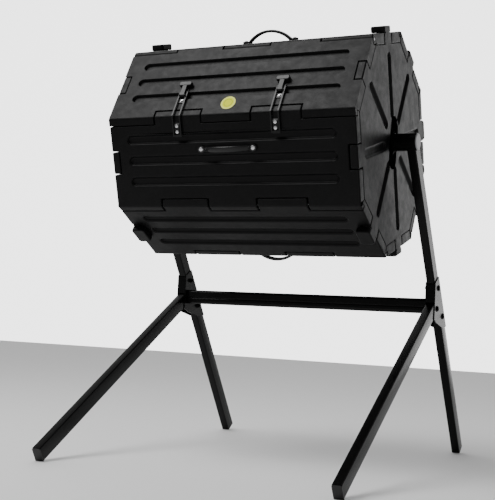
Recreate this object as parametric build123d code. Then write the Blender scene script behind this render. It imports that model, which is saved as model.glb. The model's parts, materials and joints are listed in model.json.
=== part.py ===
from build123d import *
from math import cos, radians, sin, tan
import os

# Compost tumbler: an eight-sided drum of double-walled panels that turns between two
# bolted steel side frames. X runs along the axle, Z is up, the lid faces -Y.

# drum
drum_length = 718.0
apothem = 296.0                 # axle to the outer face of a side panel
wall = 30.0                     # thickness of a double-walled panel
drum_tilt = 17.2                # how far the drum rests turned, lid towards the front
side_half = apothem * tan(radians(22.5))
corner_radius = 10.0
panel_count = 8

# finger joints between the side panels
finger_count = 5
finger_reach = 20.0             # how far a finger laps onto the next panel
finger_thick = 14.0
finger_gap = 1.5
finger_root = 1.0               # how far a finger runs into its own panel
lid_gap = 0.5

# lid hinge, in the fingers along the upper edge of the lid
knuckle_radius = 14.0
knuckle_clear = 16.5
knuckle_arm = 22.0
hinge_rod_radius = 4.0
corner_rod_radius = 3.0
corner_rod_depth = 8.0
running_gap = 0.06

# moulded grooves in the side panels
groove_length = 612.0
groove_width = 25.0
groove_depth = 8.0
groove_spacing = 57.5
groove_shift = 4.9
groove_draft = 24.0

# ears of the end panels and the notches that take them
ear_width = 60.0
ear_length = 22.0
notch_width = 65.0
notch_length = 24.0
lug_length = 40.0
lug_height = 18.0
lug_corner = 9.0

# end panel face
spoke_inner = 67.0
spoke_outer = 244.0
spoke_width = 24.0
spoke_depth = 7.0
spoke_draft = 20.0
recess_margin = 5.0             # round the hub flange, at the face
recess_depth = 11.0
recess_draft = 15.0

# hubs, axle and bearings
axle_radius = 13.5
axle_wall = 2.0
hub_radius = 24.0
hub_end = 366.0
flange_half = 66.0
flange_width = 50.0
flange_thick = 4.0
hub_bolt_reach = 53.0
hub_bolt_radius = 4.0
gusset_reach = 44.0
gusset_rise = 12.0
sleeve_start = 367.0
sleeve_end = 426.0
sleeve_bore = 20.0
cap_thick = 3.5
cap_radius = 22.5
cap_plug = 3.0

# side frames
axle_height = 894.0
mast_angle = 54.66              # slope of the mast and rear leg
leg_angle = 30.9                # slope of the front leg
junction_height = 476.6
frame_half = 412.0              # middle of the drum to the middle of a side frame
tube_width = 25.0
tube_depth = 40.0
tube_wall = 1.6
tube_corner = 3.0
plug_thick = 3.0
plug_depth = 22.0
foot_flat = 1.5                 # how much of the lowest plug corner is flat
plate_thick = 2.5
crossbar_height = 44.0
crossbar_depth = 25.0
crossbar_wall = 2.0
crossbar_reach = 38.0           # junction to the crossbar, along the front leg
crossbar_bolt_drop = 7.0        # its bolt sits below the middle of the crossbar
upper_bolt_reach = 42.0
lower_bolt_reach = 57.0
frame_bolt_radius = 4.0
hex_radius = 7.5                # M8 head and nut, across the corners
head_height = 5.3
bolt_flange_radius = 9.0
bolt_flange_thick = 1.6
nut_height = 6.5
leg_start = 22.0                # junction to the upper end of the front leg
insert_depth = 30.0
web_height_top = 524.0
plate_top = 545.0
plate_bottom = 396.0
plate_skew = 4.0
web_step = 24.0                 # from the web back to the lower point of the plates
web_drop = 10.0
web_clear = 2.0                 # between the web and the front leg

# handles
handle_span = 152.0
handle_strap = 8.0
handle_width = 15.0
handle_rise = 34.0
handle_pad = 10.0                # radius of the round pads
handle_pad_height = 6.0
handle_toe = 9.0
screw_radius = 2.5
screw_head = 5.0

# draw latches, measured up from the lid's lower corner or down from it
latch_offset = drum_length / finger_count
lever_pivot = 66.0
lever_pivot_rise = 7.0
loop_pivot = 80.0
loop_rise = 4.5
loop_strap = 3.0
loop_inner = 9.0
loop_outer = 13.0
loop_bar_low = 54.0
loop_bar_high = 49.5
handle_bar = 105.0
latch_pin_radius = 2.0
lever_width = 12.0
lever_arm_rise = 4.4            # arm above and round its pivot
lever_arm_end = 98.0
grip_half = 19.0
grip_reach = 7.5
grip_low = 3.5
grip_high = 12.0
keeper_width = 23.0
keeper_plate = 2.0
keeper_screw_places = (25.5, 41.0)
base_low = 44.0
base_high = 92.0
base_dome_screw = 52.0
base_flat_screw = 87.0
label_place = 37.0
label_radius = 21.0
label_thick = 0.8

half_length = drum_length / 2
inner_apothem = apothem - wall
finger_length = drum_length / finger_count
mitre = tan(radians(22.5))

# the foot ends decide where the axle sits, so that the frame is centred on the origin
mast_slope = radians(mast_angle)
leg_slope = radians(leg_angle)
half_depth = tube_depth / 2
junction_y = (axle_height - junction_height) / tan(mast_slope)
rear_end_z = half_depth * cos(mast_slope) - foot_flat
front_end_z = half_depth * cos(leg_slope) - foot_flat
rear_end_y = (axle_height - rear_end_z) / tan(mast_slope)
front_end_y = junction_y - (junction_height - front_end_z) / tan(leg_slope)
rear_reach = rear_end_y + half_depth * sin(mast_slope)
front_reach = half_depth * sin(leg_slope) - front_end_y
axle_y = (front_reach - rear_reach) / 2

panel_names = [
    "back_panel",
    "upper_back_panel",
    "top_panel",
    "lid_panel",
    "front_panel",
    "lower_front_panel",
    "bottom_panel",
    "lower_back_panel",
]
lid_index = 3
front_index = 4
handle_panels = {"back_handle": 0, "top_handle": 2, "front_handle": 4, "bottom_handle": 6}

nodes = {}


def side_plane(index):
    """Plane on the outer face of a side panel: x along the drum, y towards the previous panel."""
    angle = radians(drum_tilt + 45.0 * index)
    normal = Vector(0, cos(angle), sin(angle))
    centre = Vector(0, axle_y, axle_height) + normal * apothem
    return Plane(origin=centre, x_dir=(1, 0, 0), z_dir=normal)


def place(index, shape):
    return side_plane(index).location * shape


def prism_x(points, low, high, round_at=None, radius=0.0):
    """Extrude a closed outline of (y, z) points along X."""
    face = make_face(Polyline(*points, close=True))
    if round_at is not None:
        face = fillet(face.vertices().sort_by_distance((*round_at, 0))[0], radius)
    return extrude(Plane.YZ.offset(low) * face, amount=high - low)


def rod_x(y, z, radius, low, high):
    return extrude(Plane.YZ.offset(low) * Pos(y, z) * Circle(radius), amount=high - low)


def box_between(low, high):
    size = [b - a for a, b in zip(low, high)]
    centre = [(a + b) / 2 for a, b in zip(low, high)]
    return Pos(*centre) * Box(*size)


def finger_span(number):
    low = -half_length + number * finger_length
    high = low + finger_length
    if number > 0:
        low += finger_gap
    if number < finger_count - 1:
        high -= finger_gap
    return low, high


def mirrored(points, flip):
    return [(flip * y, z) for y, z in points]


# ---- side panels, each in its own plane, outer face at z = 0 ----

def square_finger(flip, reach, thick, own_depth, inset):
    """Outline of a finger that laps round the corner; flip -1 is the lower edge."""
    own = side_half - finger_reach - 2 * finger_gap - finger_root
    lap_y = cos(radians(45))
    tip = (side_half + reach * lap_y, -reach * lap_y)
    tip_inner = (tip[0] - thick * lap_y, tip[1] - thick * lap_y)
    points = [
        (own, 0.0),
        (side_half, 0.0),
        tip,
        tip_inner,
        (side_half - thick * mitre - inset, -thick),
        (side_half - own_depth * mitre - inset, -own_depth),
        (own, -own_depth),
    ]
    return mirrored(points, flip)


def deep_finger(flip):
    """Finger of the front panel that fills a full-depth gap in the lid's edge."""
    own = side_half - finger_reach - 2 * finger_gap - finger_root
    lap_y = cos(radians(45))
    depth = wall - lid_gap
    tip = (side_half + finger_reach * lap_y, -finger_reach * lap_y)
    tip_inner = (tip[0] - depth * lap_y, tip[1] - depth * lap_y)
    points = [
        (own, 0.0),
        (side_half, 0.0),
        tip,
        tip_inner,
        (side_half - depth * mitre, -depth),
        (own, -depth),
    ]
    return mirrored(points, flip)


def knuckle(flip, low, high, bore):
    """Hinge knuckle round the lid rod, joined to its own panel."""
    centre_y = side_half - knuckle_radius * mitre
    arm = [
        (centre_y, 0.0),
        (centre_y - knuckle_arm, 0.0),
        (centre_y - knuckle_arm, -2 * knuckle_radius),
        (centre_y, -2 * knuckle_radius),
    ]
    solid = prism_x(mirrored(arm, flip), low, high)
    solid += rod_x(flip * centre_y, -knuckle_radius, knuckle_radius, low, high)
    return solid - rod_x(flip * centre_y, -knuckle_radius, bore, low - 1, high + 1)


def panel_core(upper, lower, thick):
    """Slab of a panel between its finger rows."""
    step = side_half - finger_reach - finger_gap
    deep_step = step - finger_gap
    hinge_y = side_half - knuckle_radius * mitre
    ends = {
        "square": [
            (step, 0.0),
            (step, -finger_thick),
            (side_half - finger_thick * mitre, -finger_thick),
            (side_half - thick * mitre, -thick),
        ],
        "hinge": [
            (hinge_y, 0.0),
            (hinge_y, -knuckle_radius),
            (side_half - thick * mitre - lid_gap, -thick),
        ],
        "open": [(deep_step, 0.0), (deep_step, -thick)],
    }
    outline = ends[upper] + mirrored(ends[lower], -1)[::-1]
    core = prism_x(outline, -half_length, half_length)
    for flip, kind in ((1, upper), (-1, lower)):
        if kind == "hinge":
            core -= rod_x(
                flip * hinge_y, -knuckle_radius, knuckle_clear, -half_length - 1, half_length + 1
            )
    return core


def groove_cutter(y):
    slot = SlotOverall(groove_length, groove_width)
    return Pos(0, y, 0) * extrude(slot, amount=-groove_depth, taper=groove_draft)


def side_panel(index):
    is_lid = index == lid_index
    thick = wall - lid_gap if is_lid else wall
    upper = "hinge" if is_lid else "square"
    lower = "square"
    if is_lid:
        lower = "open"
    if index == lid_index - 1:
        lower = "hinge"
    solid = panel_core(upper, lower, thick)
    for number in range(finger_count):
        low, high = finger_span(number)
        on_lower_edge = number % 2 == 0
        if on_lower_edge:
            if lower == "hinge":
                solid += knuckle(-1, low, high, hinge_rod_radius)
            elif is_lid:
                solid += prism_x(
                    square_finger(-1, finger_reach - lid_gap, finger_thick - lid_gap, thick, lid_gap),
                    low, high, (-side_half, 0.0), corner_radius,
                )
            else:
                solid += prism_x(
                    square_finger(-1, finger_reach, finger_thick, finger_thick + 1.0, 0.0),
                    low, high, (-side_half, 0.0), corner_radius,
                )
        elif upper == "hinge":
            solid += knuckle(1, low, high, hinge_rod_radius + running_gap)
        elif index == front_index:
            solid += prism_x(deep_finger(1), low, high, (side_half, 0.0), corner_radius)
        else:
            solid += prism_x(
                square_finger(1, finger_reach, finger_thick, finger_thick + 1.0, 0.0),
                low, high, (side_half, 0.0), corner_radius,
            )
    for row in (-1, 0, 1):
        solid -= groove_cutter(groove_shift + row * groove_spacing)
    for end in (-1, 1):
        solid -= box_between(
            (min(end * half_length, end * (half_length - notch_length)) - (1 if end < 0 else 0),
             -notch_width / 2, -wall - 1),
            (max(end * half_length, end * (half_length - notch_length)) + (1 if end > 0 else 0),
             notch_width / 2, 1),
        )
    return solid


def corner_rod(index):
    """Rod through the fingers along the lower edge of a panel, in that panel's plane."""
    y = -(side_half - corner_rod_depth * mitre)
    return rod_x(y, -corner_rod_depth, corner_rod_radius, -half_length, half_length)


# ---- screws, handles and latches, in the plane of the panel that carries them ----

def dome_screw(x, y, z, head=screw_head, shank=screw_radius, length=18.0):
    body = Pos(x, y, z - length / 2) * Cylinder(shank, length)
    dome = Pos(x, y, z) * extrude(Circle(head), amount=head / 2)
    rim = dome.edges().group_by(Axis.Z)[-1]
    return body + fillet(rim, head * 0.4)


def handle_shape(y):
    """Arched strap with a flat foot and a round pad at each screw."""
    foot = handle_span / 2
    outer_foot = foot - handle_toe
    inner_foot = outer_foot - handle_strap
    over = ThreePointArc(
        (-outer_foot, handle_pad_height), (0, handle_rise), (outer_foot, handle_pad_height)
    )
    under = ThreePointArc((inner_foot, 0), (0, handle_rise - handle_strap), (-inner_foot, 0))
    right = Polyline((outer_foot, handle_pad_height), (foot, handle_pad_height), (foot, 0), (inner_foot, 0))
    left = Polyline(
        (-inner_foot, 0), (-foot, 0), (-foot, handle_pad_height), (-outer_foot, handle_pad_height)
    )
    face = make_face([over, right, under, left])
    strap = extrude(Plane.XZ * face, amount=handle_width / 2, both=True)
    for side in (-1, 1):
        strap += Pos(side * foot, 0, handle_pad_height / 2) * Cylinder(handle_pad, handle_pad_height)
    for side in (-1, 1):
        strap -= Pos(side * foot, 0, 0) * Cylinder(screw_radius, handle_span / 2)
    return Pos(0, y, 0) * strap


def handle_screws_shape(y):
    foot = handle_span / 2
    return [dome_screw(side * foot, y, handle_pad_height, length=26.0) for side in (-1, 1)]


def above_crease(distance):
    """Lid-plane y of a point this far up the lid from its lower corner."""
    return distance - side_half


def below_crease(distance):
    """Front-plane y of a point this far down the front panel from its upper corner."""
    return side_half - distance


def latch_base(x):
    low, high = above_crease(base_low), above_crease(base_high)
    plate = box_between((x - keeper_width / 2, low, 0), (x + keeper_width / 2, high, keeper_plate))
    plate = fillet(plate.edges().filter_by(Axis.Z), 4.0)
    pivot_y = above_crease(lever_pivot)
    ear_inner = lever_width / 2 + 0.4
    for side in (-1, 1):
        near, far = sorted((x + side * ear_inner, x + side * (ear_inner + 2.0)))
        ear = box_between((near, pivot_y - 5.0, 0.5), (far, pivot_y + 5.0, lever_pivot_rise))
        ear += rod_x(pivot_y, lever_pivot_rise, 5.0, near, far)
        plate += ear
    plate -= rod_x(pivot_y, lever_pivot_rise, latch_pin_radius, x - 20, x + 20)
    for y in (above_crease(base_dome_screw), above_crease(base_flat_screw)):
        plate -= Pos(x, y, 0) * Cylinder(screw_radius, 20)
    plate -= Pos(x, above_crease(base_flat_screw), keeper_plate) * Cylinder(4.0, 2.4)
    return plate


def latch_base_screws(x):
    flat_y = above_crease(base_flat_screw)
    flat = Pos(x, flat_y, keeper_plate - 0.6) * Cylinder(4.0, 1.2)
    flat += Pos(x, flat_y, keeper_plate - 9.0) * Cylinder(screw_radius, 16.0)
    return [dome_screw(x, above_crease(base_dome_screw), keeper_plate, head=4.2), flat]


def latch_pivot_pin(x):
    reach = lever_width / 2 + 2.4
    return rod_x(above_crease(lever_pivot), lever_pivot_rise, latch_pin_radius, x - reach, x + reach)


def latch_lever(x):
    pivot_y = above_crease(lever_pivot)
    loop_y = above_crease(loop_pivot)
    half = lever_width / 2
    top_z = lever_pivot_rise + lever_arm_rise
    arm = prism_x(
        [(pivot_y, top_z), (pivot_y, 2.6), (loop_y, 2.4), (above_crease(lever_arm_end), grip_low),
         (above_crease(lever_arm_end), top_z)],
        x - half, x + half,
    )
    arm += rod_x(pivot_y, lever_pivot_rise, lever_arm_rise, x - half, x + half)
    grip = box_between(
        (x - grip_half, above_crease(handle_bar - grip_reach), grip_low),
        (x + grip_half, above_crease(handle_bar + grip_reach), grip_high),
    )
    grip = fillet(grip.edges().filter_by(Axis.Z), 5.5)
    grip = fillet(grip.edges().group_by(Axis.Z)[-1], 2.5)
    lever = arm + grip
    lever -= rod_x(pivot_y, lever_pivot_rise, latch_pin_radius + running_gap, x - 20, x + 20)
    lever -= rod_x(loop_y, loop_rise, latch_pin_radius + running_gap, x - 20, x + 20)
    return lever


def latch_loop(x):
    """Bent loop: a pin through the lever, two straps over the corner and a bar at the keeper."""
    fold = cos(radians(45))
    half = loop_strap / 2
    top_y = above_crease(loop_pivot) + latch_pin_radius
    corner_out = ((loop_rise + half) * mitre + side_half) * -1
    corner_in = ((loop_rise - half) * mitre + side_half) * -1

    def down_front(distance, rise):
        """Point on the front panel side, in the lid's plane."""
        return (-side_half - distance * fold - rise * fold, -distance * fold + rise * fold)

    outline = [
        (top_y, loop_rise + half),
        (corner_out, loop_rise + half),
        down_front(loop_bar_low, loop_rise + half),
        down_front(loop_bar_low, loop_rise - half),
        (corner_in, loop_rise - half),
        (top_y, loop_rise - half),
    ]
    strap = prism_x(outline, x - loop_outer, x + loop_outer)
    window = [
        (top_y + 5, loop_rise + 9),
        (corner_out - 4, loop_rise + 9),
        down_front(loop_bar_high, loop_rise + 9),
        down_front(loop_bar_high, loop_rise - 9),
        (corner_in + 4, loop_rise - 9),
        (top_y + 5, loop_rise - 9),
    ]
    strap -= prism_x(window, x - loop_inner, x + loop_inner)
    return strap + rod_x(
        above_crease(loop_pivot), loop_rise, latch_pin_radius, x - loop_outer, x + loop_outer
    )


def latch_keeper(x):
    high = below_crease(17.0)
    low = below_crease(56.0)
    plate = box_between((x - keeper_width / 2, low, 0), (x + keeper_width / 2, high, keeper_plate))
    plate = fillet(plate.edges().filter_by(Axis.Z), 4.0)
    boss = [
        (below_crease(48.8), keeper_plate - 0.5),
        (below_crease(48.2), keeper_plate),
        (below_crease(44.5), 5.0),
        (below_crease(23.0), 5.0),
        (below_crease(18.5), keeper_plate),
        (below_crease(18.5), keeper_plate - 0.5),
    ]
    plate += prism_x(boss, x - 7.0, x + 7.0)
    for distance in keeper_screw_places:
        plate -= Pos(x, below_crease(distance), 0) * Cylinder(screw_radius, 20)
    return plate


def keeper_screws(x):
    return [dome_screw(x, below_crease(d), 5.0, head=4.2, length=24.0) for d in keeper_screw_places]


def round_label():
    return Pos(0, above_crease(label_place), 0) * extrude(Circle(label_radius), amount=label_thick)


# ---- ends of the drum, in the drum's own frame: x outwards from the middle, y-z about the axle ----

def radial(angle, reach):
    turned = radians(angle + drum_tilt)
    return (reach * cos(turned), reach * sin(turned))


def end_panel():
    """Right-hand end panel, centred on the axle; the left one is its mirror image."""
    disc_radius = inner_apothem / cos(radians(22.5))
    face = RegularPolygon(disc_radius, panel_count, rotation=22.5 + drum_tilt)
    panel = extrude(Plane.YZ.offset(half_length - wall) * face, amount=wall)
    for index in range(panel_count):
        turn = Rot(drum_tilt + 45.0 * index, 0, 0)
        ear = box_between(
            (half_length - ear_length, apothem - wall - 16, -ear_width / 2),
            (half_length, apothem, ear_width / 2),
        )
        if index not in (lid_index, front_index):
            lug = box_between(
                (half_length - lug_length, apothem + 0.3, -ear_width / 2),
                (half_length, apothem + lug_height, ear_width / 2),
            )
            lug = fillet(lug.edges().filter_by(Axis.Y), lug_corner)
            neck = box_between(
                (half_length - ear_length, apothem - 1, -ear_width / 2 + lug_corner),
                (half_length, apothem + 2, ear_width / 2 - lug_corner),
            )
            ear += lug + neck
        panel += turn * ear
        spoke = SlotOverall(spoke_outer - spoke_inner, spoke_width)
        middle = (spoke_outer + spoke_inner) / 2
        cutter = extrude(
            Plane(origin=(half_length, middle, 0), x_dir=(0, 1, 0), z_dir=(1, 0, 0)) * spoke,
            amount=-spoke_depth, taper=spoke_draft,
        )
        panel -= turn * cutter
    margin = 2 * recess_margin
    mouth = flange_plane(half_length) * SlotOverall(2 * flange_half + margin, flange_width + margin)
    panel -= extrude(mouth, amount=-recess_depth, taper=recess_draft)
    panel -= rod_x(0, 0, axle_radius, 0, half_length + 1)
    for y, z in hub_bolt_places():
        panel -= rod_x(y, z, hub_bolt_radius, 0, half_length + 1)
    return panel


def hub_bolt_places():
    return [radial(67.5, hub_bolt_reach), radial(247.5, hub_bolt_reach)]


def flange_plane(x):
    """Across the axle, its own x axis through two corners of the drum."""
    lean = radians(67.5 + drum_tilt)
    return Plane(origin=(x, 0, 0), x_dir=(0, cos(lean), sin(lean)), z_dir=(1, 0, 0))


def long_plate(x, thick):
    """Flange plate with rounded ends."""
    plate = extrude(flange_plane(x) * SlotOverall(2 * flange_half, flange_width), amount=thick)
    for y, z in hub_bolt_places():
        plate -= rod_x(y, z, hub_bolt_radius, x - 1, x + thick + 1)
    return plate - rod_x(0, 0, axle_radius, x - 1, x + thick + 1)


def hub():
    """Flange in the recess of the end panel with a gusseted hub tube on the axle."""
    seat = half_length - recess_depth
    face = seat + flange_thick
    tube = rod_x(0, 0, hub_radius, face, hub_end)
    gusset = make_face(
        Polyline((face, hub_radius - 4), (face, gusset_reach), (face + gusset_rise, hub_radius),
                 (face + gusset_rise, hub_radius - 4), close=True)
    )
    for side in (0, 180):
        rib = extrude(gusset, amount=2.0, both=True)
        tube += Rot(67.5 + drum_tilt + side, 0, 0) * rib
    tube -= rod_x(0, 0, axle_radius, face - 1, hub_end + 1)
    return long_plate(seat, flange_thick) + tube


def hexagon(y, z, radius, low, high):
    outline = Pos(y, z) * RegularPolygon(radius, 6)
    return extrude(Plane.YZ.offset(low) * outline, amount=high - low)


def hub_bolts():
    seat = half_length - recess_depth + flange_thick
    parts = []
    for y, z in hub_bolt_places():
        shank = rod_x(y, z, hub_bolt_radius, seat - 34, seat)
        parts.append(shank + hexagon(y, z, hex_radius, seat, seat + head_height))
    return parts


def hub_nuts():
    inner = half_length - wall - flange_thick
    return [
        hexagon(y, z, hex_radius, inner - nut_height, inner)
        - rod_x(y, z, hub_bolt_radius, inner - nut_height - 1, inner + 1)
        for y, z in hub_bolt_places()
    ]


def pipe_x(radius, bore, low, high):
    return rod_x(0, 0, radius, low, high) - rod_x(0, 0, bore, low - 1, high + 1)


# ---- side frame, y measured from the axle and z from the ground ----

mast_up = (-cos(mast_slope), sin(mast_slope))
leg_down = (-cos(leg_slope), -sin(leg_slope))
junction = (junction_y, junction_height)


def along(start, direction, distance):
    return (start[0] + direction[0] * distance, start[1] + direction[1] * distance)


def section(shrink):
    return RectangleRounded(
        tube_width - 2 * shrink, tube_depth - 2 * shrink, tube_corner - min(shrink, 1.8)
    )


def solid_run(start, direction, low, high, shrink):
    base = along(start, direction, low)
    plane = Plane(
        origin=(frame_half, base[0], base[1]), x_dir=(1, 0, 0), z_dir=(0, direction[0], direction[1])
    )
    return extrude(plane * section(shrink), amount=high - low)


def tube_run(start, direction, low, high):
    outer = solid_run(start, direction, low, high, 0.0)
    return outer - solid_run(start, direction, low - 1, high + 1, tube_wall)


def mast_edge(z, side):
    """y of the front (-1) or back (1) edge of the mast at a height."""
    centre = (axle_height - z) / tan(mast_slope)
    return centre + side * half_depth / sin(mast_slope)


rear_down = (-mast_up[0], -mast_up[1])
rear_end = (rear_end_y, rear_end_z)
front_end = (front_end_y, front_end_z)
rear_length = (junction_height - rear_end_z) / sin(mast_slope)
front_length = (junction_height - front_end_z) / sin(leg_slope)
upper_bolt = along(junction, mast_up, upper_bolt_reach)
lower_bolt = along(junction, rear_down, lower_bolt_reach)
crossbar_place = along(junction, leg_down, crossbar_reach)
crossbar_bolt = (crossbar_place[0], crossbar_place[1] - crossbar_bolt_drop)
bracket_inner = frame_half - tube_width / 2 - plate_thick
bracket_outer = frame_half + tube_width / 2 + plate_thick


def frame_bolt_shanks():
    inner = bracket_inner - 10
    shanks = [rod_x(*spot, frame_bolt_radius, inner, bracket_outer) for spot in (upper_bolt, lower_bolt)]
    shanks.append(rod_x(*crossbar_bolt, frame_bolt_radius, bracket_inner - insert_depth, bracket_outer))
    return shanks


def drilled(shape):
    for shank in frame_bolt_shanks():
        shape -= shank
    return shape


def mast():
    top = (axle_height - junction_height) / sin(mast_slope)
    tube = tube_run(junction, mast_up, 0.0, top)
    sleeve_space = Pos(0, 0, axle_height) * rod_x(0, 0, hub_radius, 0, 2 * frame_half)
    return drilled(tube - sleeve_space)


def rear_leg():
    return drilled(tube_run(junction, rear_down, 0.0, rear_length - plug_thick))


def front_leg():
    return drilled(tube_run(junction, leg_down, leg_start, front_length - plug_thick))


def foot_plug(direction, length):
    """Plug in the cut end of a leg; its lowest corner is flat where it stands."""
    plug = solid_run(junction, direction, length - plug_thick, length, 0.0)
    plug += solid_run(junction, direction, length - plug_depth, length, tube_wall)
    below = box_between((0, -2000, -50), (1000, 2000, 0))
    return plug - below


def junction_bracket():
    """Folded steel bracket: a plate each side of the tubes and a web in front."""
    web_y = mast_edge(web_height_top, -1)
    leg_low_z = crossbar_place[1] + (web_y - crossbar_place[0]) * tan(leg_slope)
    leg_low_z -= half_depth / cos(leg_slope)
    leg_top_z = leg_low_z + 2 * half_depth / cos(leg_slope)
    outline = [
        (web_y, web_height_top),
        (mast_edge(plate_top, 1), plate_top),
        (mast_edge(plate_bottom + plate_skew, 1), plate_bottom + plate_skew),
        (mast_edge(plate_bottom, -1), plate_bottom),
        (web_y + web_step, leg_low_z - web_drop),
        (web_y, leg_low_z),
    ]
    bracket = prism_x(outline, frame_half + tube_width / 2, bracket_outer)
    bracket += prism_x(outline, bracket_inner, frame_half - tube_width / 2)
    web_high = web_height_top - 1.5 * plate_thick
    bracket += box_between(
        (bracket_inner, web_y, leg_top_z + web_clear), (bracket_outer, web_y + plate_thick, web_high)
    )
    return drilled(bracket)


def frame_bolts():
    bolts = []
    for spot, shank in zip((upper_bolt, lower_bolt, crossbar_bolt), frame_bolt_shanks()):
        head = hexagon(*spot, hex_radius, bracket_outer, bracket_outer + head_height)
        head += rod_x(*spot, bolt_flange_radius, bracket_outer, bracket_outer + bolt_flange_thick)
        bolts.append(head + shank)
    return bolts


def frame_nuts():
    return [
        hexagon(*spot, hex_radius, bracket_inner - nut_height, bracket_inner)
        - rod_x(*spot, frame_bolt_radius, bracket_inner - nut_height - 1, bracket_inner + 1)
        for spot in (upper_bolt, lower_bolt)
    ]


def crossbar_section(shrink):
    """Upright tube section with a rolled groove along the front and back."""
    body = RectangleRounded(crossbar_depth - 2 * shrink, crossbar_height - 2 * shrink, 9.0 - shrink)
    for side in (-1, 1):
        notch = Pos(side * (crossbar_depth / 2 - shrink + 1.0), -3.0) * Circle(3.0)
        body -= notch
    return Pos(*crossbar_place) * body


def crossbar():
    outer = extrude(Plane.YZ * crossbar_section(0.0), amount=bracket_inner, both=True)
    return outer - extrude(Plane.YZ * crossbar_section(crossbar_wall), amount=bracket_inner + 1, both=True)


def crossbar_insert():
    start = bracket_inner - insert_depth
    block = extrude(Plane.YZ.offset(start) * crossbar_section(crossbar_wall), amount=insert_depth)
    return block - rod_x(*crossbar_bolt, frame_bolt_radius, start - 1, bracket_inner + 1)


# ---- assembly ----

def at_axle(shape):
    return Pos(0, axle_y, axle_height) * shape


def on_ground(shape):
    return Pos(0, axle_y, 0) * shape


def flipped(shape):
    return mirror(shape, about=Plane.YZ)


def add(name, *solids):
    nodes[name] = solids[0] if len(solids) == 1 else Compound(list(solids))


def add_pair(name, shape):
    add(name + "_right", shape)
    add(name + "_left", flipped(shape))


def add_both(name, shapes):
    add(name, *shapes, *[flipped(shape) for shape in shapes])


# frame
mast_shape = on_ground(mast())
add_pair("mast", mast_shape)
add_pair("rear_leg", on_ground(rear_leg()))
add_pair("front_leg", on_ground(front_leg()))
add_pair("rear_foot_plug", on_ground(foot_plug(rear_down, rear_length)))
add_pair("front_foot_plug", on_ground(foot_plug(leg_down, front_length)))
add_pair("junction_bracket", on_ground(junction_bracket()))
add("crossbar", on_ground(crossbar()))
add_both("crossbar_inserts", [on_ground(crossbar_insert())])
add_both("frame_bolts", [on_ground(bolt) for bolt in frame_bolts()])
add_both("frame_nuts", [on_ground(nut) for nut in frame_nuts()])
add_pair("bearing_sleeve", at_axle(pipe_x(hub_radius, sleeve_bore, sleeve_start, sleeve_end)))
bush_end = sleeve_end - cap_plug
add_pair("axle_bush", at_axle(pipe_x(sleeve_bore, axle_radius + running_gap, sleeve_start + 2, bush_end)))
cap = rod_x(0, 0, cap_radius, sleeve_end, sleeve_end + cap_thick)
cap = fillet(cap.edges().group_by(Axis.X)[-1], 1.5)
cap += rod_x(0, 0, sleeve_bore, bush_end, sleeve_end)
add_pair("sleeve_cap", at_axle(cap))

# drum ends and axle
axle_end = bush_end - 1.0
add("axle_tube", at_axle(pipe_x(axle_radius, axle_radius - axle_wall, -axle_end, axle_end)))
add_pair("end_panel", at_axle(end_panel()))
add_pair("hub_flange", at_axle(hub()))
add_pair("hub_backing_plate", at_axle(long_plate(half_length - wall - flange_thick, flange_thick)))
add_both("hub_bolts", [at_axle(bolt) for bolt in hub_bolts()])
add_both("hub_nuts", [at_axle(nut) for nut in hub_nuts()])

# side panels with everything that is fastened to them
panels = {index: side_panel(index) for index in range(panel_count)}
rods = []
for index in range(panel_count):
    if index in (lid_index - 1, lid_index):
        continue
    rod = corner_rod(index)
    panels[index] -= rod
    other = (index + 1) % panel_count
    placed = place(index, rod)
    panels[other] -= side_plane(other).location.inverse() * placed
    rods.append(placed)
add("corner_rods", *rods)

hinge_y = side_half - knuckle_radius * mitre
hinge_rod = rod_x(hinge_y, -knuckle_radius, hinge_rod_radius, -half_length, half_length)
add("lid_hinge_rod", place(lid_index, hinge_rod))

handle_y = groove_shift + groove_spacing / 2
handle_screws = []
for name, index in handle_panels.items():
    add(name, place(index, handle_shape(handle_y)))
    for screw in handle_screws_shape(handle_y):
        panels[index] -= screw
        handle_screws.append(place(index, screw))
add("handle_screws", *handle_screws)

base_screws = []
pivot_pins = []
keeper_screw_list = []
for side, x in (("right", latch_offset), ("left", -latch_offset)):
    add("latch_base_" + side, place(lid_index, latch_base(x)))
    add("latch_lever_" + side, place(lid_index, latch_lever(x)))
    add("latch_loop_" + side, place(lid_index, latch_loop(x)))
    add("latch_keeper_" + side, place(front_index, latch_keeper(x)))
    pivot_pins.append(place(lid_index, latch_pivot_pin(x)))
    for screw in latch_base_screws(x):
        panels[lid_index] -= screw
        base_screws.append(place(lid_index, screw))
    for screw in keeper_screws(x):
        panels[front_index] -= screw
        keeper_screw_list.append(place(front_index, screw))
add("latch_pivot_pins", *pivot_pins)
add("latch_base_screws", *base_screws)
add("latch_keeper_screws", *keeper_screw_list)
add("round_label", place(lid_index, round_label()))

for index, name in enumerate(panel_names):
    add(name, place(index, panels[index]))

os.makedirs("parts", exist_ok=True)
for name, shape in nodes.items():
    export_step(shape, "parts/" + name + ".step")
print(len(nodes), "nodes; axle at y", round(axle_y, 2), "z", axle_height)
hinge_place = side_plane(lid_index).from_local_coords((0, hinge_y, -knuckle_radius))
print("lid hinge", hinge_place)
for label, y, z in (("lever pivot", above_crease(lever_pivot), lever_pivot_rise),
                    ("loop pivot", above_crease(loop_pivot), loop_rise)):
    print(label, side_plane(lid_index).from_local_coords((latch_offset, y, z)))
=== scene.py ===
import json
import bmesh
import bpy
import numpy as np
from math import radians
from mathutils import Matrix, Vector


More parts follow.
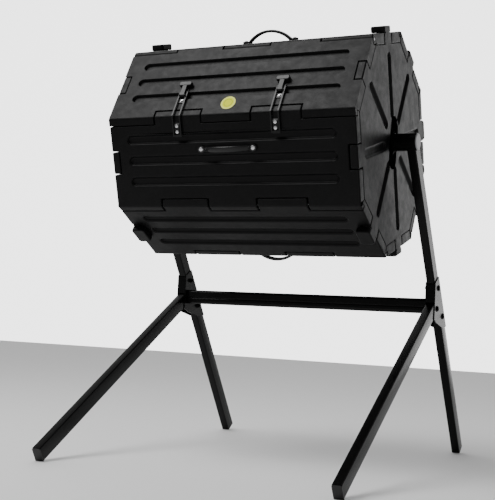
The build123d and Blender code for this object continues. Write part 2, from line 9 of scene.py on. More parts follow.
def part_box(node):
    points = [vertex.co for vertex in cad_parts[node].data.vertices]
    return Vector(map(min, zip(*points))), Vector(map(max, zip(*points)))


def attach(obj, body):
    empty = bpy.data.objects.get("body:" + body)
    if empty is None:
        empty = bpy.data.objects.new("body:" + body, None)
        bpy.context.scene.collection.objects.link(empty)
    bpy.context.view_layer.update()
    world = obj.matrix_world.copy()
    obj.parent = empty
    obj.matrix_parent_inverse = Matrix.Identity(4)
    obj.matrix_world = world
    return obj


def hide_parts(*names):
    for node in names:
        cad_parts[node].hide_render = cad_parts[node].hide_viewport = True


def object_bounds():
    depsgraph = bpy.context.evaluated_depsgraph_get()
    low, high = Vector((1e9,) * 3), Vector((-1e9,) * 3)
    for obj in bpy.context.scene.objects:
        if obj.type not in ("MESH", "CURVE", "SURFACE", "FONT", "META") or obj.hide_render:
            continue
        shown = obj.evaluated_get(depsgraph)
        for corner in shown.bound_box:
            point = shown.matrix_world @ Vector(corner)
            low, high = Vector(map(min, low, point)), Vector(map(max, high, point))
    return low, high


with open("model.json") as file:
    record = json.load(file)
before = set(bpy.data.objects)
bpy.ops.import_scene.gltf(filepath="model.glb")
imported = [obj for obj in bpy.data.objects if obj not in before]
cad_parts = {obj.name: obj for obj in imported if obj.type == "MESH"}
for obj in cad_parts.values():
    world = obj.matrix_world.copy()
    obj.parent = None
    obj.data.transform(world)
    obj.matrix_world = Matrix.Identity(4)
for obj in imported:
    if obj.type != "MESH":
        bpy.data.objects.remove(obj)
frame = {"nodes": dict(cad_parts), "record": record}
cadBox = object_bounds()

nodes = frame["nodes"]
record = frame["record"]
nodeBody = {name: body for body, names in record["behaviour"]["bodies"].items() for name in names}
nodeSlot = {part["node"]: part["material_slot"] for part in record["subparts"]}
jointPlace = {joint["name"]: Vector(joint["pos_m"]) for joint in record["behaviour"]["joints"]}
axle = jointPlace["drum_spin"]
print("frame loaded,", len(nodes), "nodes")


# camera, with its angles in radians
cameraValues = {
    "place": (1.19364, -2.71048, 0.39176),
    "yaw": 0.446974,
    "pitch": 0.0688027,
    "roll": -0.0492469,
    "lens": 72.67,
    "sensor": 36.0,
    "farthest": 50.0,
}


def makeCamera(values):
    data = bpy.data.cameras.new("camera")
    data.lens = values["lens"]
    data.sensor_width = values["sensor"]
    data.clip_end = values["farthest"]
    camera = bpy.data.objects.new("camera", data)
    bpy.context.collection.objects.link(camera)
    turn = Matrix.Rotation(values["yaw"], 4, "Z") @ Matrix.Rotation(values["pitch"], 4, "X")
    turn = turn @ Matrix.Rotation(values["roll"], 4, "Y")
    level = Matrix.Rotation(radians(90), 4, "X")     # looks along +Y with Z up
    camera.matrix_world = Matrix.Translation(values["place"]) @ turn @ level
    bpy.context.scene.camera = camera


makeCamera(cameraValues)
print("camera placed")


class Wire:                                    # a node's socket that takes part in sums
    def __init__(self, tree, socket):
        self.tree = tree
        self.socket = socket

    def add(self, kind, settings=None, values=None, out=0):
        node = self.tree.nodes.new(kind)
        for name, value in (settings or {}).items():
            if name == "stops":
                setStops(node.color_ramp, value)
            else:
                setattr(node, name, value)
        for key, value in (values or {}).items():
            if isinstance(value, Wire):
                self.tree.links.new(value.socket, node.inputs[key])
            elif isinstance(value, list):      # several wires into one socket
                for wire in value:
                    self.tree.links.new(wire.socket, node.inputs[key])
            else:
                node.inputs[key].default_value = value
        return Wire(self.tree, node.outputs[out])

    def maths(self, operation, first, second):
        return self.add("ShaderNodeMath", {"operation": operation}, {0: first, 1: second})

    def __add__(self, other):
        return self.maths("ADD", self, other)

    def __radd__(self, other):
        return self.maths("ADD", other, self)

    def __sub__(self, other):
        return self.maths("SUBTRACT", self, other)

    def __rsub__(self, other):
        return self.maths("SUBTRACT", other, self)

    def __mul__(self, other):
        return self.maths("MULTIPLY", self, other)

    def __rmul__(self, other):
        return self.maths("MULTIPLY", other, self)


def setStops(ramp, stops):                     # a position and a grey for each of the two stops
    for element, (position, shade) in zip(ramp.elements, stops):
        element.position = position
        element.color = grey(shade)


def grey(shade, blue=1.0):                     # neutral, or leaning a little to blue
    return (shade, shade, shade * blue, 1.0)


def startMaterial(name):
    material = bpy.data.materials.new(name)
    material.use_nodes = True
    tree = material.node_tree
    shader = tree.nodes["Principled BSDF"]
    place = tree.nodes.new("ShaderNodeTexCoord").outputs["Object"]
    return material, Wire(tree, place), shader


def feed(wire, shader, **values):              # links or sets the shader's own sockets
    for name, value in values.items():
        socket = shader.inputs[name.replace("_", " ")]
        if isinstance(value, Wire):
            wire.tree.links.new(value.socket, socket)
        else:
            socket.default_value = value


def noise(place, scale, detail=3.0, rough=0.55):
    return place.add("ShaderNodeTexNoise", None,
                     {"Vector": place, "Scale": scale, "Detail": detail, "Roughness": rough})


def blendColour(amount, first, second):
    return amount.add("ShaderNodeMix", {"data_type": "RGBA"},
                      {0: amount, 6: first, 7: second}, out=2)


def bump(height, strength, distance):
    return height.add("ShaderNodeBump", None,
                      {"Height": height, "Strength": strength, "Distance": distance})


# moulded plastics: tones, gloss and the spread of each, then the fine grain
plasticValues = {
    "drum_plastic": {"dark": 0.0018, "light": 0.0055, "specular": 0.12, "rough": 0.42,
                     "spread": 0.40, "grain": 300.0, "bump": 0.55, "depth": 0.0007},
    "handle_plastic": {"dark": 0.002, "light": 0.006, "specular": 0.4, "rough": 0.20,
                       "spread": 0.16, "grain": 300.0, "bump": 0.10, "depth": 0.0003},
    "latch_plastic": {"dark": 0.002, "light": 0.006, "specular": 0.25, "rough": 0.32,
                      "spread": 0.20, "grain": 500.0, "bump": 0.18, "depth": 0.0003},
    "plug_plastic": {"dark": 0.010, "light": 0.018, "specular": 0.3, "rough": 0.45,
                     "spread": 0.20, "grain": 500.0, "bump": 0.20, "depth": 0.0003},
    "cap_grey": {"dark": 0.34, "light": 0.48, "specular": 0.4, "rough": 0.38,
                 "spread": 0.20, "grain": 600.0, "bump": 0.12, "depth": 0.0003},
    "bush_nylon": {"dark": 0.55, "light": 0.68, "specular": 0.4, "rough": 0.42,
                   "spread": 0.20, "grain": 400.0, "bump": 0.12, "depth": 0.0003},
}
plasticPattern = {                             # the same in every moulding
    "cloud": {"scale": 5.0, "detail": 4.0},
    "mottle": {"scale": 46.0, "detail": 5.0, "rough": 0.62},
    "grainDetail": 2.0,
    "toneShares": (0.35, 0.40, 0.25),          # of cloud, mottle and grain
    "toneStops": [(0.38, 0.0), (0.62, 1.0)],
    "reliefShares": (0.6, 0.4),                # of grain and mottle
    "blue": 1.03,
}


def mouldedPlastic(name, values, pattern):
    material, place, shader = startMaterial(name)
    cloud = noise(place, **pattern["cloud"])
    mottle = noise(place, **pattern["mottle"])
    grain = noise(place, values["grain"], pattern["grainDetail"])
    cloudShare, mottleShare, grainShare = pattern["toneShares"]
    tone = cloud * cloudShare + mottle * mottleShare + grain * grainShare
    amount = tone.add("ShaderNodeValToRGB", {"stops": pattern["toneStops"]}, {"Fac": tone})
    colour = blendColour(amount, grey(values["dark"], pattern["blue"]),
                         grey(values["light"], pattern["blue"]))
    grainShare, mottleShare = pattern["reliefShares"]
    relief = grain * grainShare + mottle * mottleShare
    feed(place, shader, Base_Color=colour,
         Roughness=values["rough"] + (mottle - 0.5) * values["spread"],
         Specular_IOR_Level=values["specular"],
         Normal=bump(relief, values["bump"], values["depth"]))
    return material


# black coats on the frame, and on its bolts and pins
coatValues = {
    "black_powder_coat": {"dark": 0.0015, "light": 0.0045, "specular": 0.14, "rough": 0.22},
    "black_fasteners": {"dark": 0.001, "light": 0.004, "specular": 0.10, "rough": 0.34},
}
coatPattern = {
    "peel": {"black_powder_coat": 260.0, "black_fasteners": 500.0},
    "peelDetail": 1.0,
    "drift": {"scale": 14.0, "detail": 4.0},
    "spread": 0.12,
    "bump": 0.12,
    "depth": 0.0003,
}


def powderCoat(name, values, pattern):
    material, place, shader = startMaterial(name)
    peel = noise(place, pattern["peel"][name], pattern["peelDetail"])
    drift = noise(place, **pattern["drift"])
    feed(place, shader,
         Base_Color=blendColour(drift, grey(values["dark"]), grey(values["light"])),
         Roughness=values["rough"] + (drift - 0.5) * pattern["spread"],
         Specular_IOR_Level=values["specular"],
         Normal=bump(peel, pattern["bump"], pattern["depth"]))
    return material


steelValues = {
    "bright_screws": {"dark": 0.55, "light": 0.80, "rough": 0.24},
    "zinc_steel": {"dark": 0.40, "light": 0.60, "rough": 0.34},
}
steelPattern = {
    "spangle": 340.0,
    "drift": {"scale": 90.0, "detail": 4.0},
    "toneShares": (0.4, 0.6),                  # of spangle and drift
    "spread": 0.2,
    "blue": 1.02,
    "bump": 0.08,
    "depth": 0.0002,
}


def brightSteel(name, values, pattern):
    material, place, shader = startMaterial(name)
    spangle = place.add("ShaderNodeTexVoronoi", None,
                        {"Vector": place, "Scale": pattern["spangle"]})
    drift = noise(place, **pattern["drift"])
    spangleShare, driftShare = pattern["toneShares"]
    tone = spangle * spangleShare + drift * driftShare
    feed(place, shader,
         Base_Color=blendColour(tone, grey(values["dark"]), grey(values["light"], pattern["blue"])),
         Metallic=1.0,
         Roughness=values["rough"] + (drift - 0.5) * pattern["spread"],
         Normal=bump(drift, pattern["bump"], pattern["depth"]))
    return material


labelValues = {
    "face": (0.80, 0.84, 0.0, 1.0),
    "rim": (0.85, 0.90, 0.22, 1.0),
    "ring": (0.40, 0.50, 0.0, 1.0),
    "faded": (0.9, 0.9, 0.5, 1.0),
    "fade": 0.04,
    "faceReach": 0.80,                         # parts of the disc's radius
    "ringReach": (0.52, 0.60),
    "fleck": {"scale": 900.0, "detail": 2.0},
    "specular": 0.08,
    "rough": 0.40,
    "spread": 0.15,
    "bump": 0.08,
    "depth": 0.0002,
}


def printedLabel(values):
    material, place, shader = startMaterial("label")
    low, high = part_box("round_label")
    centre = (low + high) / 2
    radius = (high.x - low.x) / 2
    reach = place.add("ShaderNodeVectorMath", {"operation": "DISTANCE"},
                      {0: place, 1: tuple(centre)}, out=1) * (1 / radius)
    rim = reach.maths("GREATER_THAN", reach, values["faceReach"])
    inner, outer = values["ringReach"]
    ring = reach.maths("GREATER_THAN", reach, inner) * reach.maths("LESS_THAN", reach, outer)
    fleck = noise(place, **values["fleck"])
    colour = blendColour(rim, blendColour(ring, values["face"], values["ring"]), values["rim"])
    faded = blendColour(fleck * values["fade"], colour, values["faded"])
    feed(place, shader, Base_Color=faded,
         Roughness=values["rough"] + fleck * values["spread"],
         Specular_IOR_Level=values["specular"],
         Normal=bump(fleck, values["bump"], values["depth"]))
    return material


materials = {}
for make, finishes, pattern in ((mouldedPlastic, plasticValues, plasticPattern),
                                (powderCoat, coatValues, coatPattern),
                                (brightSteel, steelValues, steelPattern)):
    for name, values in finishes.items():
        materials[name] = make(name, values, pattern)
materials["label"] = printedLabel(labelValues)
print("materials made:", len(materials))


# soft-edged copies of the moulded and folded pieces, in the places of their nodes
softEdges = {
    "panel": {"width": 0.0036, "segments": 3, "clamp": False, "split": False},
    "lid": {"width": 0.0036, "segments": 3, "clamp": True, "split": True},
    "latch": {"width": 0.0006, "segments": 2, "clamp": True, "split": False},
    "steel": {"width": 0.0007, "segments": 2, "clamp": True, "split": False},
    "tube": {"width": 0.0004, "segments": 2, "clamp": True, "split": False},
    "angle": 30.0,                             # edges sharper than this are rounded
    "flat": 0.6,                               # faces closer than this are joined
    "merge": 0.000004,
    "levelWeight": 100,
}


def plainMesh(piece):                          # evaluated shape, with its modifiers gone
    bpy.context.view_layer.update()
    evaluated = piece.evaluated_get(bpy.context.evaluated_depsgraph_get())
    mesh = bpy.data.meshes.new_from_object(evaluated)
    piece.modifiers.clear()
    piece.data = mesh


def softCopy(node, kind):
    mesh = nodes[node].data.copy()
    work = bmesh.new()
    work.from_mesh(mesh)
    bmesh.ops.remove_doubles(work, verts=work.verts, dist=softEdges["merge"])
    bmesh.ops.dissolve_limit(work, angle_limit=radians(softEdges["flat"]),
                             verts=work.verts, edges=work.edges)
    if kind["split"]:                          # the lid's many-sided faces cross themselves whole
        bmesh.ops.triangulate(work, faces=[face for face in work.faces if len(face.verts) > 4])
    work.to_mesh(mesh)
    work.free()
    piece = bpy.data.objects.new(node + ".soft", mesh)
    bpy.context.collection.objects.link(piece)
    mesh.materials.clear()
    mesh.materials.append(materials[nodeSlot[node]])
    mesh.polygons.foreach_set("use_smooth", [True] * len(mesh.polygons))
    edge = piece.modifiers.new("edge", "BEVEL")
    edge.width = kind["width"]
    edge.segments = kind["segments"]
    edge.limit_method = "ANGLE"
    edge.angle_limit = radians(softEdges["angle"])
    edge.use_clamp_overlap = kind["clamp"]
    edge.loop_slide = False
    level = piece.modifiers.new("level", "WEIGHTED_NORMAL")
    level.mode = "FACE_AREA"
    level.weight = softEdges["levelWeight"]
    plainMesh(piece)
    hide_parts(node)
    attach(piece, nodeBody[node])


def kindOf(node):                              # None keeps the node itself
    if node == "lid_panel":
        return "lid"
    if node.endswith("_panel") or node.startswith("end_panel"):
        return "panel"
    if node.startswith("latch_") and nodeSlot[node] == "latch_plastic":
        return "latch"
    if node.startswith(("junction_", "hub_flange", "hub_backing")) or "foot_plug" in node:
        return "steel"
    if node.startswith(("mast_", "crossbar", "bearing_sleeve", "sleeve_cap")):
        return None if node == "crossbar_inserts" else "tube"
    return None


# parts of the node trees that make fasteners, handles and legs
def addSocket(tree, name, kind, direction="INPUT"):
    tree.interface.new_socket(name, in_out=direction, socket_type=kind)


def startTree(name, sizes, places=()):         # a tree with a geometry input and named sizes
    tree = bpy.data.node_groups.new(name, "GeometryNodeTree")
    addSocket(tree, "Geometry", "NodeSocketGeometry")
    for size in sizes:
        addSocket(tree, size, "NodeSocketInt" if size in ("Sides", "Seed") else "NodeSocketFloat")
    for spot in places:
        addSocket(tree, spot, "NodeSocketVector")
    addSocket(tree, "Finish", "NodeSocketMaterial")
    addSocket(tree, "Geometry", "NodeSocketGeometry", "OUTPUT")
    given = tree.nodes.new("NodeGroupInput")
    return tree, {socket.name: Wire(tree, socket) for socket in given.outputs if socket.name}


def endTree(tree, given, shape):
    solid = shape.add("GeometryNodeRealizeInstances", None, {"Geometry": shape})
    done = solid.add("GeometryNodeSetMaterial", None,
                     {"Geometry": solid, "Material": given["Finish"]})
    result = tree.nodes.new("NodeGroupOutput")
    tree.links.new(done.socket, result.inputs[0])


def shifted(wire, shape, **along):             # moved along the axes that are named
    move = wire.add("ShaderNodeCombineXYZ", None, along)
    return wire.add("GeometryNodeTransform", None, {"Geometry": shape, "Translation": move})


def cylinder(wire, sides, radius, height, base):
    shape = wire.add("GeometryNodeMeshCylinder", {"fill_type": "NGON"},
                     {"Vertices": sides, "Radius": radius, "Depth": height})
    return shifted(wire, shape, Z=base + height * 0.5)


def centredBox(wire, width, length, height, middle):
    size = wire.add("ShaderNodeCombineXYZ", None, {"X": length, "Y": width, "Z": height})
    shape = wire.add("GeometryNodeMeshCube", None, {"Size": size})
    return shifted(wire, shape, Z=middle)


def combined(wire, operation, pieces):
    return wire.add("GeometryNodeMeshBoolean", {"operation": operation, "solver": "EXACT"}, pieces)


def sweptBar(wire, line, width, depth, corner, steps):  # rounded bar along a line, ends closed
    profile = wire.add("GeometryNodeCurvePrimitiveQuadrilateral", {"mode": "RECTANGLE"},
                       {"Width": width, "Height": depth})
    rounded = wire.add("GeometryNodeFilletCurve", {"mode": "POLY"},
                       {"Curve": profile, "Count": steps, "Radius": corner})
    return wire.add("GeometryNodeCurveToMesh", None,
                    {"Curve": line, "Profile Curve": rounded, "Fill Caps": True})


def spreadOut(given, shape, spin=0.0):         # one copy on each point, turned to its axis
    axis = shape.add("GeometryNodeInputNamedAttribute", {"data_type": "FLOAT_VECTOR"},
                     {"Name": "axis"})
    turn = shape.add("FunctionNodeAlignRotationToVector", {"axis": "Z"}, {"Vector": axis})
    if spin:                                   # and at random about that axis
        angle = shape.add("FunctionNodeRandomValue", {"data_type": "FLOAT"},
                          {2: 0.0, 3: spin, "Seed": given["Seed"]}, out=1)
        about = shape.add("ShaderNodeCombineXYZ", None, {"Z": angle})
        turn = shape.add("FunctionNodeRotateRotation", {"rotation_space": "LOCAL"},
                         {"Rotation": turn, "Rotate By": about})
    return shape.add("GeometryNodeInstanceOnPoints", None,
                     {"Points": given["Geometry"], "Instance": shape, "Rotation": turn})


def setInputs(piece, tree, values):            # by the sockets' identifiers, before evaluation
    modifier = piece.modifiers.new(tree.name, "NODES")
    modifier.node_group = tree
    for item in tree.interface.items_tree:
        if item.item_type == "SOCKET" and item.in_out == "INPUT" and item.name in values:
            modifier[item.identifier] = values[item.name]


def pointPiece(name, places, axes):            # vertices that carry their axis
    mesh = bpy.data.meshes.new(name)
    mesh.from_pydata([tuple(place) for place in places], [], [])
    field = mesh.attributes.new("axis", "FLOAT_VECTOR", "POINT")
    for number, axis in enumerate(axes):
        field.data[number].vector = tuple(axis)
    piece = bpy.data.objects.new(name, mesh)
    bpy.context.collection.objects.link(piece)
    return piece


def settle(piece, body, replaced, sharp):
    plainMesh(piece)
    piece.data.shade_smooth()
    piece.data.set_sharp_from_angle(angle=radians(sharp))
    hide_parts(*replaced)
    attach(piece, body)


# fasteners, found from the solids of their nodes and made again with washers and recesses
fastenerValues = {
    "handle_screws": {"head": 0.0050, "washer": 0.0056, "washerRise": 0.0004,
                      "shank": 0.0025, "sides": 28, "recess": 0.0013},
    "latch_keeper_screws": {"head": 0.0042, "washer": 0.0046, "washerRise": 0.0004,
                            "shank": 0.0025, "sides": 28, "recess": 0.0011},
    "latch_base_screws": {"head": 0.0042, "washer": 0.0046, "washerRise": 0.0003,
                          "shank": 0.0025, "sides": 28, "recess": 0.0010},
    "frame_bolts": {"head": 0.0075, "washer": 0.0090, "washerRise": 0.0016,
                    "shank": 0.0040, "sides": 6, "recess": 0.0},
    "hub_bolts": {"head": 0.0075, "washer": 0.0080, "washerRise": 0.0004,
                  "shank": 0.0040, "sides": 6, "recess": 0.0},
    "wide": 0.8,                               # part of the widest radius that counts as the head
    "digits": 4,                               # lengths that agree this far make one piece
    "domeReach": 1.14,                         # parts of the head's radius
    "crossReach": 1.15,
    "domeSteps": (28, 14),
    "washerSides": 28,
    "shankSides": 20,
    "spin": 6.283,
    "seed": 7,
    "sharp": 32.0,
}


def solidsOf(node):                            # the separate solids of a node, as point arrays
    work = bmesh.new()
    work.from_mesh(nodes[node].data)
    bmesh.ops.remove_doubles(work, verts=work.verts, dist=softEdges["merge"])
    left = set(work.verts)
    found = []
    for start in work.verts:                   # in the mesh's own order, the same every time
        if start not in left:
            continue
        left.remove(start)
        group, waiting = [start], [start]
        while waiting:
            for edge in waiting.pop().link_edges:
                for vert in edge.verts:
                    if vert in left:
                        left.remove(vert)
                        group.append(vert)
                        waiting.append(vert)
        found.append(np.array([vert.co for vert in group]))
    work.free()
    return found


def seatOf(points):                            # seat, outward axis, shank length and head height
    middle = (points.min(0) + points.max(0)) / 2
    axis = np.linalg.svd(points - points.mean(0), full_matrices=False)[2][0]
    outward = middle - np.array(axle)
    alongAxle = abs(axis[0]) > 0.5
    if not alongAxle:
        outward[0] = 0.0
    if axis @ outward < 0:
        axis = -axis
    along = (points - middle) @ axis
    across = np.linalg.norm(points - middle - np.outer(along, axis), axis=1)
    seat = along[across > fastenerValues["wide"] * across.max()].min()
    return middle + axis * seat, axis, seat - along.min(), along.max() - seat


def fastenerTree(crossed, values):
    sizes = ["Head Radius", "Head Height", "Washer Radius", "Washer Height", "Shank Radius",
             "Shank Length", "Recess Width", "Sides", "Seed"]
    tree, given = startTree("crossScrews" if crossed else "hexBolts", sizes)
    radius, rise, washerRise = given["Head Radius"], given["Head Height"], given["Washer Height"]
    prism = cylinder(radius, given["Sides"], radius, rise, washerRise)
    segments, rings = values["domeSteps"]
    ball = radius.add("GeometryNodeMeshUVSphere", None,
                      {"Segments": segments, "Rings": rings, "Radius": 1.0})
    reach = values["domeReach"]
    scale = radius.add("ShaderNodeCombineXYZ", None,
                       {"X": radius * reach, "Y": radius * reach, "Z": rise})
    lift = radius.add("ShaderNodeCombineXYZ", None, {"Z": washerRise})
    dome = radius.add("GeometryNodeTransform", None,
                      {"Geometry": ball, "Translation": lift, "Scale": scale})
    head = combined(radius, "INTERSECT", {"Mesh 2": [prism, dome]})
    if crossed:
        width, length = given["Recess Width"], radius * values["crossReach"]
        top = washerRise + rise
        one = centredBox(radius, width, length, rise, top)
        other = centredBox(radius, length, width, rise, top)
        cross = combined(radius, "UNION", {"Mesh 2": [one, other]})
        head = combined(radius, "DIFFERENCE", {"Mesh 1": head, "Mesh 2": cross})
    washer = cylinder(radius, values["washerSides"], given["Washer Radius"], washerRise, 0.0)
    length = given["Shank Length"]
    shank = cylinder(radius, values["shankSides"], given["Shank Radius"], length, 0.0 - length)
    whole = radius.add("GeometryNodeJoinGeometry", None, {"Geometry": [shank, washer, head]})
    endTree(tree, given, spreadOut(given, whole, values["spin"]))
    return tree


def makeFasteners(node, tree, values):         # one piece for each length and height
    seats = [seatOf(points) for points in solidsOf(node)]
    groups = {}
    for seat in seats:
        shape = tuple(round(size, fastenerValues["digits"]) for size in seat[2:])
        groups.setdefault(shape, []).append(seat)
    for number, (length, rise) in enumerate(sorted(groups)):
        chosen = groups[length, rise]
        piece = pointPiece(node + ".heads" + str(number), [seat[0] for seat in chosen],
                           [seat[1] for seat in chosen])
        setInputs(piece, tree, {
            "Head Radius": values["head"], "Head Height": rise - values["washerRise"],
            "Washer Radius": values["washer"], "Washer Height": values["washerRise"],
            "Shank Radius": values["shank"], "Shank Length": length,
            "Recess Width": values["recess"], "Sides": values["sides"],
            "Seed": fastenerValues["seed"], "Finish": materials[nodeSlot[node]]})
        settle(piece, nodeBody[node], [node], fastenerValues["sharp"])
    return seats


crossTree = fastenerTree(True, fastenerValues)
hexTree = fastenerTree(False, fastenerValues)
seatsOf = {}
for node in ("handle_screws", "latch_keeper_screws", "latch_base_screws"):
    seatsOf[node] = makeFasteners(node, crossTree, fastenerValues[node])
for node in ("frame_bolts", "hub_bolts"):
    seatsOf[node] = makeFasteners(node, hexTree, fastenerValues[node])
print("fasteners made:", sum(len(seats) for seats in seatsOf.values()))


# carrying handles, swept along an arch and placed by their screws
handleValues = {
    "rise": 0.034,
    "width": 0.015,
    "strap": 0.008,
    "corner": 0.0026,
    "padRadius": 0.010,
    "padRise": 0.006,
    "toe": 0.009,
    "toeWidth": 0.9,                           # part of the strap's width
    "toeRise": 0.8,                            # part of the pad's height
    "archSteps": 40,
    "cornerSteps": 4,
    "padSides": 32,
    "bevel": 0.0012,
    "bevelSteps": 2,
    "bevelAngle": 50.0,
    "sharp": 40.0,
}


def handleTree(values):
    sizes = ["Span", "Rise", "Strap Width", "Strap Thickness", "Corner Radius", "Pad Radius",
             "Pad Height", "Toe"]
    tree, given = startTree("archHandles", sizes)
    span, rise, pad, toe = given["Span"], given["Rise"], given["Pad Height"], given["Toe"]
    width, thick = given["Strap Width"], given["Strap Thickness"]
    reach = span * 0.5 - toe - thick * 0.5
    foot = pad * 0.5
    start = span.add("ShaderNodeCombineXYZ", None, {"X": 0.0 - reach, "Z": foot})
    middle = span.add("ShaderNodeCombineXYZ", None, {"Z": rise - thick * 0.5})
    end = span.add("ShaderNodeCombineXYZ", None, {"X": reach, "Z": foot})
    arch = span.add("GeometryNodeCurveArc", {"mode": "POINTS"},
                    {"Resolution": values["archSteps"], "Start": start, "Middle": middle,
                     "End": end})
    parts = [sweptBar(span, arch, width, thick, given["Corner Radius"], values["cornerSteps"])]
    for side in (-1.0, 1.0):
        button = cylinder(span, values["padSides"], given["Pad Radius"], pad, 0.0)
        parts.append(shifted(span, button, X=span * (0.5 * side)))
        toeBox = centredBox(span, width * values["toeWidth"], toe + thick,
                            pad * values["toeRise"], pad * (values["toeRise"] / 2))
        parts.append(shifted(span, toeBox, X=(span * 0.5 - toe * 0.5 - thick * 0.5) * side))
    whole = span.add("GeometryNodeJoinGeometry", None, {"Geometry": parts})
    endTree(tree, given, spreadOut(given, whole))
    return tree


def makeHandles(seats, values):
    groups = {}
    for place, axis, length, rise in seats:    # two screws that share an axis hold one handle
        groups.setdefault(tuple(np.round(axis, 2)), []).append((place, axis))
    places, axes = [], []
    for (first, axis), (second, _) in groups.values():
        places.append((first + second) / 2 - axis * values["padRise"])
        axes.append(axis)
        span = abs(first[0] - second[0])
    piece = pointPiece("carryHandles", places, axes)
    setInputs(piece, handleTree(values), {
        "Span": span, "Rise": values["rise"], "Strap Width": values["width"],
        "Strap Thickness": values["strap"], "Corner Radius": values["corner"],
        "Pad Radius": values["padRadius"], "Pad Height": values["padRise"], "Toe": values["toe"],
        "Finish": materials["handle_plastic"]})
    plainMesh(piece)
    edge = piece.modifiers.new("edge", "BEVEL")
    edge.width = values["bevel"]
    edge.segments = values["bevelSteps"]
    edge.limit_method = "ANGLE"
    edge.angle_limit = radians(values["bevelAngle"])
    handles = [node for node in nodes if node.endswith("_handle")]
    settle(piece, "drum", handles, values["sharp"])
    print("handles made:", len(places))
    return handles


madeElsewhere = set(seatsOf) | set(makeHandles(seatsOf["handle_screws"], handleValues))


# legs, swept as hollow bars along the lines of their nodes
legValues = {
    "width": 0.025,
    "depth": 0.040,
    "wall": 0.0016,
    "corner": 0.003,
    "cornerSteps": 6,
    "innerCorner": 0.8,                        # walls taken off the corner on the inside
    "spare": 0.05,                             # part of the length the hollow runs past each end
    "sharp": 32.0,
}


def lineBetween(wire, start, end):
    line = wire.add("GeometryNodeCurvePrimitiveLine", {"mode": "POINTS"},
                    {"Start": start, "End": end})
    return line.add("GeometryNodeSetCurveNormal", {"mode": "Z_UP"}, {"Curve": line})


def legTree(values):
    tree, given = startTree("sweptLegs", ["Width", "Depth", "Wall", "Corner Radius"],
                            ["Start", "End"])
    start, end, wall = given["Start"], given["End"], given["Wall"]
    width, depth, corner = given["Width"], given["Depth"], given["Corner Radius"]
    steps = values["cornerSteps"]
    outer = sweptBar(width, lineBetween(width, start, end), width, depth, corner, steps)
    whole = width.add("ShaderNodeVectorMath", {"operation": "SUBTRACT"}, {0: end, 1: start})
    spare = width.add("ShaderNodeVectorMath", {"operation": "SCALE"},
                      {0: whole, "Scale": values["spare"]})
    early = width.add("ShaderNodeVectorMath", {"operation": "SUBTRACT"}, {0: start, 1: spare})
    late = width.add("ShaderNodeVectorMath", {"operation": "ADD"}, {0: end, 1: spare})
    inner = sweptBar(width, lineBetween(width, early, late), width - wall * 2.0,
                     depth - wall * 2.0, corner - wall * values["innerCorner"], steps)
    endTree(tree, given, combined(width, "DIFFERENCE", {"Mesh 1": outer, "Mesh 2": inner}))
    return tree


def makeLeg(node, tree, values):               # same line and ends as its node
    points = np.array([vert.co for vert in nodes[node].data.vertices])
    middle = (points.min(0) + points.max(0)) / 2
    axis = np.linalg.svd(points - points.mean(0), full_matrices=False)[2][0]
    axis[0] = 0.0
    axis /= np.linalg.norm(axis)
    across = np.cross(axis, (1.0, 0.0, 0.0))
    along = (points - middle) @ axis
    side = (points - middle) @ across
    middle = middle + across * (side.min() + side.max()) / 2
    piece = pointPiece(node + ".swept", [middle], [axis])
    setInputs(piece, tree, {
        "Start": list(middle + axis * along.min()), "End": list(middle + axis * along.max()),
        "Width": values["width"], "Depth": values["depth"], "Wall": values["wall"],
        "Corner Radius": values["corner"], "Finish": materials[nodeSlot[node]]})
    settle(piece, nodeBody[node], [node], values["sharp"])


sweptTree = legTree(legValues)
for node in ("front_leg_left", "front_leg_right", "rear_leg_left", "rear_leg_right"):
    makeLeg(node, sweptTree, legValues)
    madeElsewhere.add(node)
print("legs swept")

softCount = 0
for node in sorted(set(nodes) - madeElsewhere):
    kind = kindOf(node)
    if kind is None:
        for holder in nodes[node].material_slots:
            holder.material = materials[nodeSlot[node]]
    else:
        softCopy(node, softEdges[kind])
        softCount += 1
print("soft-edged pieces:", softCount)


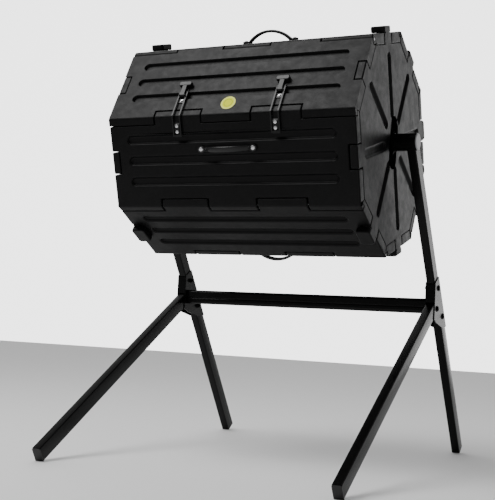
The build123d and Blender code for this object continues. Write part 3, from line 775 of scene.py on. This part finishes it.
# floor and light
stageValues = {
    "floorSize": 14.0,
    "floorTones": (0.86, 0.8772),
    "floorGrain": 60.0,
    "floorRough": 0.85,
    "backdropAim": (-0.43, 0.90, 0.0),         # middle of the pale backdrop, seen from the object
    "backdropEdge": (0.52, 0.985),             # cosines where it fades out and is full
    "backStrength": 3.4,
    "frontStrength": 0.26,
    "lights": {
        "key": {"place": (-1.2, -1.5, 3.4), "size": 1.9, "power": 95.0},
    },
}


def makeFloor(values):
    size = values["floorSize"] / 2
    mesh = bpy.data.meshes.new("floor")
    corners = [(-size, -size, 0), (size, -size, 0), (size, size, 0), (-size, size, 0)]
    mesh.from_pydata(corners, [], [(0, 1, 2, 3)])
    floor = bpy.data.objects.new("floor", mesh)
    bpy.context.collection.objects.link(floor)
    material, place, shader = startMaterial("paleFloor")
    dull, pale = values["floorTones"]
    feed(place, shader,
         Base_Color=blendColour(noise(place, values["floorGrain"]), grey(dull), grey(pale)),
         Roughness=values["floorRough"])
    mesh.materials.append(material)


def makeLights(values):
    target = (cadBox[0] + cadBox[1]) / 2
    for name, light in values["lights"].items():
        data = bpy.data.lights.new(name, "AREA")
        data.size = light["size"]
        data.energy = light["power"]
        lamp = bpy.data.objects.new(name, data)
        bpy.context.collection.objects.link(lamp)
        aim = target - Vector(light["place"])
        lamp.location = light["place"]
        lamp.rotation_euler = aim.to_track_quat("-Z", "Y").to_euler()
    world = bpy.data.worlds.new("softWorld")
    world.use_nodes = True
    tree = world.node_tree
    direction = Wire(tree, tree.nodes.new("ShaderNodeTexCoord").outputs["Generated"])
    turned = direction.add("ShaderNodeVectorMath", {"operation": "DOT_PRODUCT"},
                           {0: direction, 1: values["backdropAim"]}, out=1)
    low, high = values["backdropEdge"]
    behind = turned.add("ShaderNodeMapRange", {"interpolation_type": "SMOOTHSTEP"},
                        {"Value": turned, "From Min": low, "From Max": high,
                         "To Min": values["frontStrength"], "To Max": values["backStrength"]})
    tree.links.new(behind.socket, tree.nodes["Background"].inputs["Strength"])
    tree.nodes["Background"].inputs["Color"].default_value = grey(1.0)
    bpy.context.scene.world = world


makeFloor(stageValues)
makeLights(stageValues)
print("floor and lights ready")
